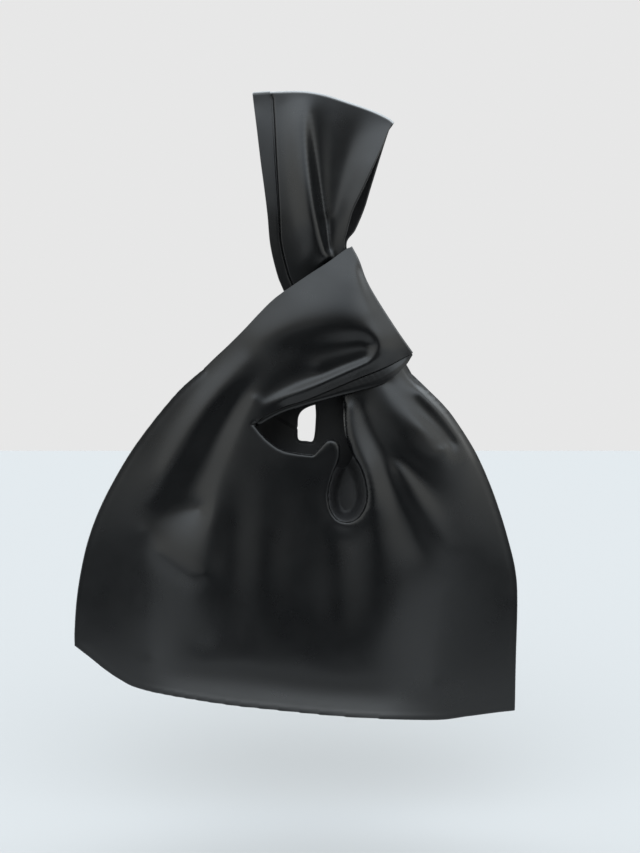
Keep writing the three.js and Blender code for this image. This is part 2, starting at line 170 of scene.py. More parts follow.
STRAP_LEFT = [(322, 372), (300, 330), (284, 290), (278, 275), (271, 246), (268, 215), (265, 190), (261, 160),
              (257, 126), (254.5, 106), (253, 93)]
STRAP_RIGHT = [(396, 352), (372, 315), (353, 280), (343.5, 247), (346, 231), (352, 209), (363, 186),
               (380, 149), (388, 130), (394, 122)]
STRAP_CROWN = [(253, 93), (275, 91.5), (303, 91), (325, 94.5), (349, 102), (372, 110), (388, 117.5),
               (394, 122)]
STRAP_BACK_RIGHT = [(396, 352), (374, 315), (356, 280), (346, 246), (355, 230), (364, 209), (372, 183),
                    (388, 132), (394, 122)]

# Lines of the surfaces: crests, valleys and edges as (x, y, height), with the height in millimetres

SEAM = 1.3  # outer faces stand this far from the middle plane along the seams


def at_seam(outline):
    return [(x, y, SEAM) for x, y in outline]


SEAMS = {"left seam": at_seam(LEFT_DOWN), "bottom seam": at_seam(BOTTOM_RIGHT),
         "right seam": at_seam(RIGHT_UP), "foot seam": at_seam(FOOT_UP)}
SHOULDER_LINES = {
    "upper edge": [(203, 370, SEAM), (229, 345, 5), (258, 315, 9.5), (285, 291, 13)],
    "roll": [(148, 500, 7), (152, 480, 7), (163, 456, 6.5), (177, 430, 6), (193, 404, 5.5), (211, 378, 5),
             (240, 350, 8.8)],
    "roll crest": [(158, 494, 8), (164, 470, 8.8), (179, 444, 9.2), (196, 418, 9.8), (216, 394, 10.7),
                   (246, 362, 12.6)],
    "trough": [(190, 494, 7.6), (203, 470, 7.8), (216, 442, 7), (229, 418, 7.4), (242, 398, 10),
               (256, 380, 13)],
    "tip ridge": [(254, 399, 14.3), (243, 419, 13.2), (233, 441, 13), (223, 470, 13.5), (216, 490, 15),
                  (212.5, 506, 17), (209.5, 530, 20.5), (206.5, 556, 24.6), (204.5, 574, 27)],
}
POUCH_LINES = {
    "mouth": [(343.5, 406, 11.4), (343.6, 420, 13.4), (346, 438, 16.4), (352.5, 455, 19.8), (361, 470, 23.4),
              (366, 490, 26), (365, 505, 26.2), (357, 518, 24.6), (345, 522, 22), (335, 517, 20),
              (329.5, 505, 18.7), (329, 490, 18.5), (333, 475, 19.5), (339, 460, 20.5), (340, 447, 21),
              (335, 440, 21.5), (327, 440, 21.5), (321, 446, 21), (313, 455, 20.5), (300, 453.5, 20),
              (281, 449, 18.5), (265, 437, 16.5), (254, 424, 15)],
    "patch top": [(157, 519, 7.4), (170, 511, 7), (187, 508.5, 7.6), (200, 508, 9.8)],
    "left wing": [(146, 530, 7.8), (147, 555, 7.6), (149, 580, 7.6), (150, 620, 7.6), (151, 655, 6.5)],
    "patch foot": [(159, 553, 12.6), (176, 567, 19), (190, 578, 24)],
    "ramp top": [(204.5, 592, 25.6), (206, 620, 25.2), (207, 650, 24.2)],
    "left of middle": [(238, 480, 16.3), (236, 520, 18.8), (232, 560, 22.6), (230, 600, 26),
                       (228, 640, 26.8)],
    "middle": [(262, 465, 17.8), (262, 500, 19.8), (262, 530, 22.4), (262, 570, 26.1), (262, 620, 29.2),
               (265, 660, 29.8)],
    "first streak": [(319, 468, 18.6), (313, 488, 17.3), (303, 512, 17.8), (294, 537, 20), (289, 562, 22.8),
                     (289, 592, 25.7), (292, 625, 28.2)],
    "between streaks": [(318, 520, 17.6), (316, 550, 20), (314, 580, 23.4), (313, 612, 26.8)],
    "second streak": [(340, 536, 18.8), (339, 560, 20.3), (340, 592, 23.4), (341, 625, 26.8)],
    "low middle": [(290, 668, 29.5), (345, 670, 29.5)],
    "right of middle": [(377, 540, 28.2), (380, 580, 29.2), (380, 620, 29.8), (377, 668, 29.5)],
    "tear ridge": [(348, 407, 14.8), (348.5, 424, 17.2), (352, 440, 19.8), (358.5, 455, 22.6),
                   (366, 470, 25.5), (371, 490, 27.6), (371.5, 510, 28)],
    "beside tear": [(362, 408, 13.2), (370, 430, 15.4), (380, 450, 17.6), (390, 475, 19.6), (400, 500, 20.6),
                    (411, 525, 20.6), (424, 555, 18.6)],
    "near fold": [(398, 464, 21.8), (411, 486, 22.8), (424, 508, 21.8), (437, 540, 17.8), (444, 570, 13)],
    "deep fold": [(368, 398, 14.3), (378, 424, 16.8), (391, 448, 18.9), (407, 467, 19.6), (424, 488, 18.9),
                  (442, 514, 16.2), (457, 548, 12)],
    "far fold": [(382, 384, 14.5), (391, 405, 18.6), (402, 420, 20.8), (417, 437, 21.6), (432, 449, 20.6),
                 (445, 449, 17.5)],
    "far hollow": [(402, 384, 10.5), (415, 397, 11), (428, 411, 10.8), (441, 426, 10), (453, 443, 9)],
    "right wing": [(444, 592, 10.6), (440, 618, 9.4), (436, 648, 8.6), (433, 680, 8)],
    "bottom roll": [(150, 672, 6), (180, 678, 15), (230, 685, 20), (300, 695, 20), (370, 701, 20),
                    (405, 702, 13), (432, 702, 7)],
    "hidden foot": [(320, 338, 7), (352, 331, 8), (386, 338, 7)],
    "under the loop": [(332, 372, 9.5), (360, 368, 12.5), (392, 364, 9.5)],
    "inner fold": [(389, 383, 12.5), (399, 402, 17), (410, 416, 19.2), (423, 428, 19.6), (436, 439, 17.5)],
    "far rim": [(421, 391, 9.4), (434, 404, 9.8), (446, 419, 9.3), (458, 436, 8.4), (468, 455, 7.6)],
    "patch lee": [(157, 567, 10.6), (174, 581, 16.8), (188, 592, 21.8)],
}
LOOP_LINES = {
    "loop edge": [(285, 291, 13), (310, 274, 14), (330, 261, 14), (351, 247.5, 11)],
    "facet foot": [(248, 346, 10.8), (262, 339, 15), (285, 329, 20), (320, 322.5, 26.2), (345, 324, 28.2),
                   (360, 327, 27.6)],
    "bevel": [(351, 249, 12), (357, 268, 15.4), (363, 290, 19.4), (370, 312, 23.6)],
    "end": [(351, 247.5, 11), (365, 280, 13.2), (376, 300, 15.2), (396, 331, 15.6), (411, 353, 10.6)],
    "hollow wall": [(358, 334, 25.4), (345, 334, 25.4), (320, 335, 23.8), (293, 345, 19), (270, 356, 15.8)],
    "hollow": [(369, 346, 22), (355, 346, 21.4), (340, 347.5, 20.8), (320, 353, 19.6), (300, 361, 17.8),
               (280, 373, 15.6), (262, 386, 13.8)],
    "second ridge": [(362, 351, 22.6), (345, 356.5, 21.6), (320, 365, 20)],
    "lower ridge": [(360, 366.5, 25.2), (345, 373, 24.6), (322, 383, 23.4), (300, 391.5, 21.2),
                    (280, 399, 19), (264, 406, 17), (257, 414, 16), (254, 424, 15)],
    "foot": [(266, 414, 14), (285, 406, 15.6), (309, 398.5, 17.6), (330, 389.5, 18.4), (353, 380, 18.6),
             (385, 367, 17.5), (405, 357, 11.5)],
    "ring ridge": [(360, 326, 27.6), (371, 332, 27), (378, 340, 26.4), (380, 349, 25.9), (374, 358, 25.5),
                   (360, 366.5, 25.2)],
    "ridge valley": [(367, 357.5, 22.4), (345, 365.5, 20.8), (322, 375.5, 19.2), (300, 384, 17.2),
                     (280, 392, 15.4), (265, 399.5, 14)],
}
BACK_LINES = {
    "mouth": [(297, 428, 14), (298, 439.5, 15), (306, 441.5, 15.5), (314, 440, 15), (316.5, 418, 13),
              (316, 404, 12)],
    "upper edge": [(203, 370, SEAM), (231, 347, 6), (260, 318, 10), (287, 294, 13)],
    "roll": [(163, 456, 10), (178, 430, 12), (195, 403, 12.5), (213, 376, 13), (240, 352, 15)],
    "trough": [(188, 510, 12), (200, 465, 8.5), (215, 428, 7.5), (240, 398, 8), (262, 376, 9)],
    "tip ridge": [(222, 520, 22), (240, 470, 18), (262, 430, 16), (288, 404, 15)],
    "left wing": [(150, 490, 9.5), (147, 540, 9.5), (149, 580, 9.5), (150, 620, 9.5), (151, 655, 8)],
    "left of middle": [(226, 560, 26), (219, 610, 28), (216, 655, 26.5)],
    "streak": [(300, 470, 14.5), (296, 510, 18), (290, 560, 23), (288, 600, 26.5)],
    "middle": [(262, 480, 19), (258, 530, 24), (257, 580, 27.5), (262, 650, 29)],
    "low middle": [(300, 655, 29.5), (345, 655, 29.5)],
    "right of middle": [(326, 450, 14), (334, 490, 16), (345, 540, 20), (362, 590, 26.5), (377, 660, 29.5)],
    "near hollow": [(345, 410, 10.5), (360, 450, 13), (380, 500, 17.5), (396, 540, 20.5)],
    "far fold": [(366, 396, 13), (386, 440, 17.5), (408, 490, 20), (428, 535, 18), (442, 575, 13)],
    "far hollow": [(392, 392, 10), (414, 432, 11), (436, 480, 11), (452, 525, 10)],
    "right wing": [(441, 605, 11), (437, 640, 10), (434, 685, 8.5)],
    "bottom roll": [(110, 650, 5), (140, 668, 7), (180, 676, 16), (230, 684, 21), (300, 694, 21),
                    (370, 700, 21), (400, 701, 15), (430, 702, 7)],
    "hidden foot": [(320, 338, 7), (352, 331, 8), (386, 338, 7)],
    "under the loop": [(330, 372, 9), (360, 365, 10), (395, 362, 9.5)],
}
BACK_LOOP_LINES = {
    "upper edge": [(203, 370, SEAM), (231, 347, 6), (260, 318, 10), (287, 294, 13), (312, 278, 14),
                   (331, 264, 14), (351, 247.5, 10)],
    "upper crest": [(240, 352, 15), (285, 326, 19.5), (325, 306, 20.5), (360, 304, 18)],
    "crease": [(262, 376, 11), (300, 352, 15.5), (340, 334, 17), (378, 326, 15)],
    "lower crest": [(288, 404, 15), (310, 384, 18.5), (345, 364, 19.5), (384, 346, 16)],
    "foot": [(297, 428, 14), (298.5, 415, 14.5), (307, 407, 15), (330, 400, 16), (353, 390, 16),
             (385, 375, 14), (405, 359, 11)],
    "end": [(351, 247.5, 9), (365, 280, 9), (376, 300, 9), (396, 331, 10), (411, 353, 10)],
}
STRAP_LINES = {
    "left edge": [(254, 106, 4.5), (257, 126, 6.5), (261, 160, 8.5), (265, 190, 10), (268, 215, 10.8),
                  (271, 246, 9.5), (278, 275, 8)],
    "panel": [(284, 104, 7.5), (287, 140, 12), (291, 180, 14.8), (297, 220, 15.5), (304, 250, 12.5)],
    "left ridge": [(301, 98, 9.5), (304, 115, 13.6), (306, 140, 16.6), (309, 165, 18.6), (313, 190, 19.5),
                   (318, 220, 18.4), (323, 243, 15), (328, 258, 12)],
    "right edge": [(391, 125, 15), (381, 148, 19.4), (372, 166, 20.6), (364, 185, 19.4), (353, 208, 16),
                   (347, 230, 12.8), (344, 246, 10.8)],
    "hidden": [(284, 290, 7), (320, 275, 8), (353, 280, 7)],
    "hidden end": [(322, 372, 5), (360, 362, 5.5), (396, 352, 5)],
    "hidden middle": [(300, 330, 5.5), (340, 322, 6), (372, 315, 5.5)],
    "floor left": [(310, 108, 10.8), (311, 120, 10.6), (312.5, 140, 9.8), (315.5, 165, 8.5), (319, 190, 7.4),
                   (323, 215, 6.8), (327, 240, 7), (330.5, 262, 7.4)],
    "floor right": [(360, 113, 11.4), (357, 122, 11), (352, 140, 10), (345, 165, 8.8), (339, 190, 8),
                    (334.5, 215, 7.4), (332.5, 240, 7.4), (335, 262, 7.4)],
    "floor": [(334, 108, 10.4), (333, 125, 10.2), (332, 145, 9.3), (330, 168, 8), (329, 190, 7),
              (329, 212, 6.5)],
}
STRAP_BACK_LINES = {
    "left edge": [(254, 106, 5), (261, 160, 8), (268, 215, 9), (278, 275, 7.5)],
    "left ridge": [(282, 110, 9), (288, 150, 14), (298, 200, 15), (312, 250, 10)],
    "valley": [(322, 112, 7.5), (322, 150, 10), (324, 200, 10.5), (326, 250, 8.5)],
    "right ridge": [(366, 124, 12), (360, 160, 17), (350, 205, 15), (342, 245, 9.5)],
    "right edge": [(390, 130, 8), (380, 160, 12), (366, 205, 11), (346, 246, 8)],
    "hidden": [(284, 290, 7), (320, 275, 8), (356, 280, 7)],
    "hidden end": [(322, 372, 5), (360, 362, 5.5), (396, 352, 5)],
    "hidden middle": [(300, 330, 5.5), (340, 322, 6), (374, 315, 5.5)],
}

FRONT = relief(SHOULDER_LINES | POUCH_LINES | SEAMS)
LOOP = relief(SHOULDER_LINES | LOOP_LINES)
BACK = relief(BACK_LINES | SEAMS)
BACK_LOOP = relief(BACK_LOOP_LINES)
STRAP = relief(STRAP_LINES)
STRAP_BACK = relief(STRAP_BACK_LINES)

SEAM_LINE = np.vstack([spline(line, 3.0) for line in (LEFT_DOWN, BOTTOM_RIGHT, [*RIGHT_UP, *FOOT_UP[1:]])])
MOUTH_LINE = np.vstack([spline(FOOT_DOWN, 2.0), spline(TEAR, 2.0), spline(LIP, 2.0)])
END_LINE, TOP_LINE, FOOT_LINE = (spline(line, 1.0) for line in (LOOP_END, LOOP_TOP, LOOP_FOOT))
BACK_TOP_LINE, BACK_FOOT_LINE = (spline(line, 1.0) for line in (BACK_LOOP_TOP, BACK_LOOP_FOOT))
CROWN_LINE = spline(STRAP_CROWN, 1.0)
LEFT_LINE, RIGHT_LINE = spline(STRAP_LEFT, 1.0), spline(STRAP_RIGHT, 1.0)
BACK_RIGHT_LINE = spline(STRAP_BACK_RIGHT, 1.0)

PRESSED = 6.0  # pixels beside a seam over which the panels are pressed together
LIP_ROLL, LIP_WIDTH = 2.6, 4.5  # how far the mouth's turned edge rolls back, mm, and over how many pixels
LOOP_SHARE = 0.35  # share of the loop over which it leaves the pouch's own surface
END_ROUND, CROWN_ROUND = 4.0, 2.5  # pixels over which the loop and the strap fold over to the back
HEM_SHARE, GROOVE_AT, GROOVE_SHARE = 0.118, 0.130, 0.012  # strap's hem and its groove, shares of its width
GROOVE, GROOVE_FADE = 1.4, 8.0  # groove's depth, mm, and the pixels over which it runs out at the crown


def sewn(height, p):
    return SEAM + (np.maximum(height, SEAM) - SEAM) * smooth(distance(SEAM_LINE, p) / PRESSED)


def front_height(p):
    return sewn(FRONT(p), p) - LIP_ROLL * (1 - half_round(distance(MOUTH_LINE, p), LIP_WIDTH))


def back_height(p):
    return sewn(BACK(p), p)


def loop_height(p, share):
    leave = smooth(share / LOOP_SHARE)
    return front_height(p) * (1 - leave) + LOOP(p) * leave


def back_loop_height(p, share):
    turn = half_round(distance(END_LINE, p), END_ROUND)
    free = BACK_LOOP(p) * turn - LOOP(p) * (1 - turn)
    leave = smooth(share / LOOP_SHARE)
    return back_height(p) * (1 - leave) + free * leave


def strap_form(surface, p, across):
    """A strap's face with the groove beside its hem, folding over at the crown."""
    below = distance(CROWN_LINE, p)
    groove = GROOVE * np.exp(-(((across - GROOVE_AT) / GROOVE_SHARE) ** 2)) * smooth(below / GROOVE_FADE)
    return (surface(p) - groove) * half_round(below, CROWN_ROUND)


# Meshes

ROW_SHARE, CLEAR = 0.866, 0.65  # shares of a spread's step: from row to row, and clear of an edge
EDGE_CLEAR = 1.0  # pixels that a ring keeps off the outline


def within(outline, p):
    inside = np.zeros(len(p), bool)
    for a, b in zip(outline, np.roll(outline, -1, 0)):
        if a[1] == b[1]:
            continue
        crosses = (a[1] > p[:, 1]) != (b[1] > p[:, 1])
        inside ^= crosses & (p[:, 0] < a[0] + (p[:, 1] - a[1]) * (b[0] - a[0]) / (b[1] - a[1]))
    return inside


def fill(outline, step, rings=()):
    """Triangles over the inside of an outline: its own points, rings of points and an even spread."""
    low, high = outline.min(0), outline.max(0)
    spread = []
    for k, row in enumerate(np.arange(low[1], high[1], step * ROW_SHARE)):
        xs = np.arange(low[0] + (k % 2) * step / 2, high[0], step)
        spread.append(np.stack([xs, np.full(len(xs), row)], -1))
    spread = np.vstack(spread)
    spread = spread[within(outline, spread)]
    spread = spread[distance(np.vstack([outline, outline[:1]]), spread) > CLEAR * step]
    for ring in rings:
        spread = spread[distance(ring, spread) > CLEAR * step]
    rings = [ring[within(outline, ring) & (distance(outline, ring) > EDGE_CLEAR)] for ring in rings]
    points = np.vstack([outline, *rings, spread])
    made = delaunay_2d_cdt([Vector(p) for p in points], [], [list(range(len(outline)))], 1, 1e-7)
    return np.array([tuple(v) for v in made[0]]), np.array(made[2])


def patch(bottom, top, left, right, across, up):
    """A grid of image points that fills four lines: columns across, rows up."""
    low, high = sample(bottom, across), sample(top, across)
    first, last = sample(left, up), sample(right, up)
    s, v = across[None, :, None], up[:, None, None]
    grid = (1 - v) * low[None] + v * high[None] + (1 - s) * first[:, None] + s * last[:, None]
    corners = (1 - s) * ((1 - v) * bottom[0] + v * top[0]) + s * ((1 - v) * bottom[-1] + v * top[-1])
    return grid - corners


def grid_faces(rows, columns):
    at = np.arange(rows * columns).reshape(rows, columns)
    quads = np.stack([at[:-1, :-1], at[:-1, 1:], at[1:, 1:], at[1:, :-1]], -1)
    return quads.reshape(-1, 4)


def normals_of(points, faces):
    normal = np.zeros_like(points)
    for k in range(1, faces.shape[1] - 1):
        a, b, c = (points[faces[:, i]] for i in (0, k, k + 1))
        face = np.cross(b - a, c - a)
        for i in (0, k, k + 1):
            np.add.at(normal, faces[:, i], face)
    return normal / np.maximum(np.linalg.norm(normal, axis=1, keepdims=True), 1e-12)


def facing(points, faces, towards):
    """Turns faces over where they look the wrong way along Y."""
    a, b, c = (points[faces[:, i]] for i in (0, 1, 2))
    flip = np.cross(b - a, c - a)[:, 1] * towards < 0
    return np.where(flip[:, None], faces[:, ::-1], faces)


def shell(name, points, faces, thick, outside, inside, lift=0.0, joined=None):
    """A closed ply whose outer face is the given surface, moved out by lift, with its edge rounded
    over. joined gives the points, with their normals, where it runs on into another piece."""
    normal = normals_of(points, faces)
    square = np.zeros(len(points), bool)
    if joined is not None:
        square[joined[0]] = True
        normal[joined[0]] = joined[1]
    points = points + normal * lift
    n = len(points)
    edges = np.stack([faces, np.roll(faces, -1, 1)], -1).reshape(-1, 2)
    key = {(int(a), int(b)) for a, b in edges}
    border = np.array([e for e in edges if (int(e[1]), int(e[0])) not in key])
    out = np.zeros_like(points)
    step = points[border[:, 1]] - points[border[:, 0]]
    for end in (0, 1):
        np.add.at(out, border[:, end], np.cross(step, normal[border[:, end]]))
    out /= np.maximum(np.linalg.norm(out, axis=1, keepdims=True), 1e-12)
    out[square] = 0
    ids = np.unique(border)
    slot = np.full(n, -1)
    slot[ids] = np.arange(len(ids))
    turns = np.radians([45, 90, 135])
    away = [np.cos(turn) * normal[ids] + np.sin(turn) * out[ids] for turn in turns]
    rings = [points[ids] + (direction - normal[ids]) * thick / 2 for direction in away]
    verts = np.vstack([points, points - normal * thick, *rings])
    chain = [np.arange(n)] + [2 * n + k * len(ids) + slot for k in range(3)] + [n + np.arange(n)]
    rim = []
    for a, b in zip(chain, chain[1:]):
        rim.append(np.stack([a[border[:, 1]], a[border[:, 0]], b[border[:, 0]], b[border[:, 1]]], -1))
    all_faces = [*faces.tolist(), *(faces[:, ::-1] + n).tolist(), *np.vstack(rim).tolist()]
    mesh = bpy.data.meshes.new(name)
    mesh.from_pydata(verts.tolist(), [], all_faces)
    mesh.materials.append(outside)
    mesh.materials.append(inside)
    index = np.zeros(len(all_faces), np.int32)
    index[len(faces):2 * len(faces)] = 1
    mesh.polygons.foreach_set("material_index", index)
    mesh.polygons.foreach_set("use_smooth", np.ones(len(all_faces), bool))
    mesh.update()
    shading = np.vstack([normal, -normal, *away])
    shading[np.linalg.norm(shading, axis=1) < 0.1] = (0, 0, 1)
    mesh.normals_split_custom_set_from_vertices(shading.tolist())
    obj = bpy.data.objects.new(name, mesh)
    bpy.context.scene.collection.objects.link(obj)
    return obj


# Materials

PEBBLE, DENTS, RUBBED, THREADS, FADED = 1500, 45, 14, 420, 60  # scales of the patterns, per metre


def texture(nodes, links, kind, where, scale, **inputs):
    made = nodes.new("ShaderNodeTex" + kind)
    made.inputs["Scale"].default_value = scale
    for key, value in inputs.items():
        made.inputs[key].default_value = value
    links.new(where.outputs["Object"], made.inputs["Vector"])
    return made


def ranged(nodes, links, value, low, high, span=(0.0, 1.0), kind="LINEAR"):
    made = nodes.new("ShaderNodeMapRange")
    made.interpolation_type = kind
    for key, number in zip(("From Min", "From Max", "To Min", "To Max"), (*span, low, high)):
        made.inputs[key].default_value = number
    links.new(value, made.inputs["Value"])
    return made.outputs["Result"]


def bump(nodes, links, height, strength, depth, under=None):
    made = nodes.new("ShaderNodeBump")
    made.inputs["Strength"].default_value = strength
    made.inputs["Distance"].default_value = depth
    links.new(height, made.inputs["Height"])
    if under:
        links.new(under.outputs["Normal"], made.inputs["Normal"])
    return made


def leather(name, colour, roughness):
    """Soft coated cloth: a fine pebble grain over slow unevenness, with worn and rubbed patches."""
    made = bpy.data.materials.new(name)
    made.use_nodes = True
    nodes, links = made.node_tree.nodes, made.node_tree.links
    shader = nodes["Principled BSDF"]
    shader.inputs["Specular IOR Level"].default_value = 0.5
    where = nodes.new("ShaderNodeTexCoord")
    pebble = texture(nodes, links, "Voronoi", where, PEBBLE)
    slow = texture(nodes, links, "Noise", where, DENTS, Detail=5)
    broad = texture(nodes, links, "Noise", where, RUBBED, Detail=2)
    links.new(ranged(nodes, links, slow.outputs["Fac"], roughness - 0.04, roughness + 0.04, (0.3, 0.7)),
              shader.inputs["Roughness"])
    tone = nodes.new("ShaderNodeMix")
    tone.data_type = "RGBA"
    tone.inputs["A"].default_value = (*[c * 0.75 for c in colour], 1)
    tone.inputs["B"].default_value = (*[c * 1.3 for c in colour], 1)
    links.new(broad.outputs["Fac"], tone.inputs["Factor"])
    links.new(tone.outputs["Result"], shader.inputs["Base Color"])
    uneven = bump(nodes, links, slow.outputs["Fac"], 0.15, 0.0005)
    grain = bump(nodes, links, pebble.outputs["Distance"], 0.06, 0.00015, uneven)
    links.new(grain.outputs["Normal"], shader.inputs["Normal"])
    return made


def cloth(name, colour):
    """Plain woven lining: two crossing sets of fine threads."""
    made = bpy.data.materials.new(name)
    made.use_nodes = True
    nodes, links = made.node_tree.nodes, made.node_tree.links
    shader = nodes["Principled BSDF"]
    shader.inputs["Roughness"].default_value = 0.5
    shader.inputs["Specular IOR Level"].default_value = 0.45
    where = nodes.new("ShaderNodeTexCoord")
    weft = texture(nodes, links, "Wave", where, THREADS)
    warp = texture(nodes, links, "Wave", where, THREADS)
    weft.bands_direction, warp.bands_direction = "Z", "X"
    slow = texture(nodes, links, "Noise", where, FADED, Detail=4)
    tone = nodes.new("ShaderNodeMix")
    tone.data_type = "RGBA"
    tone.inputs["A"].default_value = (*[c * 0.8 for c in colour], 1)
    tone.inputs["B"].default_value = (*[c * 1.25 for c in colour], 1)
    links.new(slow.outputs["Fac"], tone.inputs["Factor"])
    links.new(tone.outputs["Result"], shader.inputs["Base Color"])
    first = bump(nodes, links, weft.outputs["Fac"], 0.3, 0.0001)
    second = bump(nodes, links, warp.outputs["Fac"], 0.3, 0.0001, first)
    links.new(second.outputs["Normal"], shader.inputs["Normal"])
    return made


OUTER = leather("faux_leather", (0.0050, 0.0053, 0.0058), 0.30)
LINING = cloth("lining_cloth", (0.020, 0.020, 0.021))
OUTER_THICK, LINING_THICK, LINING_DROP = 1.2, 0.7, 2.0  # mm
FACING_DROP = 1.5  # mm by which the straps' facings lie inside their outer plies

# Pouch: front and back panels with their linings

ROOT_POINTS = 61
ROOT = sample(np.array([EYE_TIP, SHOULDER], float), np.linspace(0, 1, ROOT_POINTS))
BACK_ROOT = sample(np.array([BACK_TIP, SHOULDER], float), np.linspace(0, 1, ROOT_POINTS))
STEP, EDGE_STEP, LINING_STEP = 2.4, 1.5, 4.0  # pixels from point to point
RIM_GAPS = (1.3, 2.7, 4.5)  # rows of points inside the mouth's edge, in pixels
SEAM_INSET, MOUTH_INSET = 9.0, 3.0  # how far the linings stop short of the panels' edges, in pixels
LINING_MOUTH = [(343.5, 406), (343.6, 420), (346, 438), (350, 455), (343, 466), (335, 460), (338, 450),
                (334, 441), (327, 440), (321, 446), (313, 455)]
TEAR_DROP, TEAR_WIDTH = 15.0, 9.0  # how far the slack lining falls away inside the mouth's sag


def closed(lines):
    return np.vstack([line[:-1] for line in lines])


def normals_at(p, height, side):
    """Normals of a height surface at image points."""
    step = 0.5
    right, left, up, down = (place(p + np.array(d) * step, side * height(p + np.array(d) * step))
                             for d in ((1, 0), (-1, 0), (0, -1), (0, 1)))
    normal = np.cross(right - left, up - down) * side
    return normal / np.linalg.norm(normal, axis=1, keepdims=True)


def inset(lines, distances):
    """An outline's lines moved inwards, each by its own distance."""
    outline = closed(lines)
    gap = np.concatenate([np.full(len(line) - 1, d) for line, d in zip(lines, distances)])
    gap = (gap + np.roll(gap, 1)) / 2
    along = np.roll(outline, -1, 0) - np.roll(outline, 1, 0)
    along /= np.linalg.norm(along, axis=1, keepdims=True)
    x, y = outline.T
    turn = np.sign((x * np.roll(y, -1) - np.roll(x, -1) * y).sum())
    return outline + turn * np.stack([-along[:, 1], along[:, 0]], -1) * gap[:, None]


def panel(name, seams, mouth, root, height, side):
    """A pouch panel inside its seams, its mouth's edge and the root of the short strap."""
    lines = [*seams, *mouth, root]
    mouth_start = sum(len(line) - 1 for line in seams)
    rings = []
    for gap in RIM_GAPS:
        ring = inset(lines, [gap] * len(lines))
        rings.append(ring[mouth_start:1 - len(root)])
    p, faces = fill(closed(lines), STEP, rings)
    points = place(p, side * height(p))
    on_root = np.where(distance(root, p) < 1e-3)[0]
    joined = (on_root, normals_at(p[on_root], height, side))
    return shell(name, points, facing(points, faces, -side), OUTER_THICK * MM, OUTER, LINING, joined=joined)


def lining(name, lines, distances, height, side):
    p, faces = fill(inset(lines, distances), LINING_STEP)
    points = place(p, side * (height(p) - LINING_DROP))
    return shell(name, points, facing(points, faces, -side), LINING_THICK * MM, LINING, LINING)


def lining_height(p):
    tear = spline(TEAR, 2.0)
    sag = within(tear, p) * TEAR_DROP * smooth(distance(tear, p) / TEAR_WIDTH)
    return sewn(FRONT(p), p) - sag


sides = [spline(line, STEP) for line in (LEFT_DOWN, BOTTOM_RIGHT, RIGHT_UP, FOOT_UP, FOOT_TOP)]
front_mouth = [spline(FOOT_DOWN, STEP), spline(TEAR, EDGE_STEP), spline(LIP, EDGE_STEP)]
back_mouth = [spline(BACK_FOOT_DOWN, STEP), spline(BACK_LIP, EDGE_STEP)]
lining_mouth = [spline(FOOT_DOWN, STEP), spline(LINING_MOUTH, LINING_STEP), spline(LIP, LINING_STEP)]
lining_lines, back_lining_lines = [*sides, *lining_mouth, ROOT], [*sides, *back_mouth, BACK_ROOT]
lining_gaps = [SEAM_INSET] * 4 + [MOUTH_INSET] * 5

front = panel("pouch_front", sides, front_mouth, ROOT, front_height, 1)
back = panel("pouch_back", sides, back_mouth, BACK_ROOT, back_height, -1)
front_lining = lining("lining_front", lining_lines, lining_gaps, lining_height, 1)
back_lining = lining("lining_back", back_lining_lines, lining_gaps[:-1], back_height, -1)

# Short strap: its loop, front and back, with facings and hems

LOOP_COLUMNS, HEM_ROWS = 140, 12
FACING_SHORT = 16  # columns by which the facings stop short of the loop's end
HEM_TUCK = (5.0, 6.0)  # pixels by which the front hem runs in behind the loop
BACK_HEM_REACH = (8.0, 11.0)  # pixels from the back hem's lower edge to its upper one
HEM_PROFILE = [(0, -2.2), (0.15, -1.2), (0.5, -1.8), (1, -3.2)]  # share up the hem, mm off the loop
BACK_HEM_PROFILE = [(0, 0.3), (0.2, 0.9), (0.8, 0.9), (1, 0.2)]
HEM_THICK = 1.0  # mm
HEM_FADE, HEM_LEAST = 6.0, 0.15  # mm: below this height the hem lies closer, and its least height


def ease(count):
    """Shares from 0 to 1, closer together towards 1."""
    return 1 - (1 - np.linspace(0, 1, count)) ** 1.7


def half_loop(name, foot, top, root, height, panel_height, side):
    across, up = ease(LOOP_COLUMNS), np.linspace(0, 1, len(root))
    p = patch(foot, top, root, END_LINE, across, up).reshape(-1, 2)
    points = place(p, side * height(p, np.tile(across, len(up))))
    faces = facing(points, grid_faces(len(up), len(across)), -side)
    starts = np.arange(len(up)) * len(across)
    ends = starts + len(across) - 1
    rim = np.cross((0, 1, 0), np.gradient(points[ends], axis=0))
    rim /= np.linalg.norm(rim, axis=1, keepdims=True)
    joined = (np.r_[starts, ends], np.vstack([normals_at(root, panel_height, side), rim]))
    ply = shell(f"short_loop_{name}", points, faces, OUTER_THICK * MM, OUTER, LINING, joined=joined)
    short = len(across) - FACING_SHORT
    inside = points.reshape(len(up), len(across), 3)[:, :short].reshape(-1, 3)
    faces = facing(inside, grid_faces(len(up), short), -side)
    inner = shell(f"short_loop_facing_{name}", inside, faces, LINING_THICK * MM, LINING, LINING,
                  lift=-FACING_DROP * MM)
    return ply, inner


def hem(name, lower, upper, height, at, profile, side):
    across, up = ease(LOOP_COLUMNS), np.linspace(0, 1, HEM_ROWS)
    low, high, line = sample(lower, across), sample(upper, across), sample(at, across)
    base = height(line, across)
    off = np.interp(up, *np.transpose(profile))
    p = low[None] + (high - low)[None] * up[:, None, None]
    tall = np.maximum(base[None] + off[:, None] * np.minimum(base / HEM_FADE, 1)[None], HEM_LEAST)
    points = place(p, side * tall).reshape(-1, 3)
    faces = facing(points, grid_faces(len(up), len(across)), -side)
    return shell(f"short_loop_hem_{name}", points, faces, HEM_THICK * MM, OUTER, OUTER)


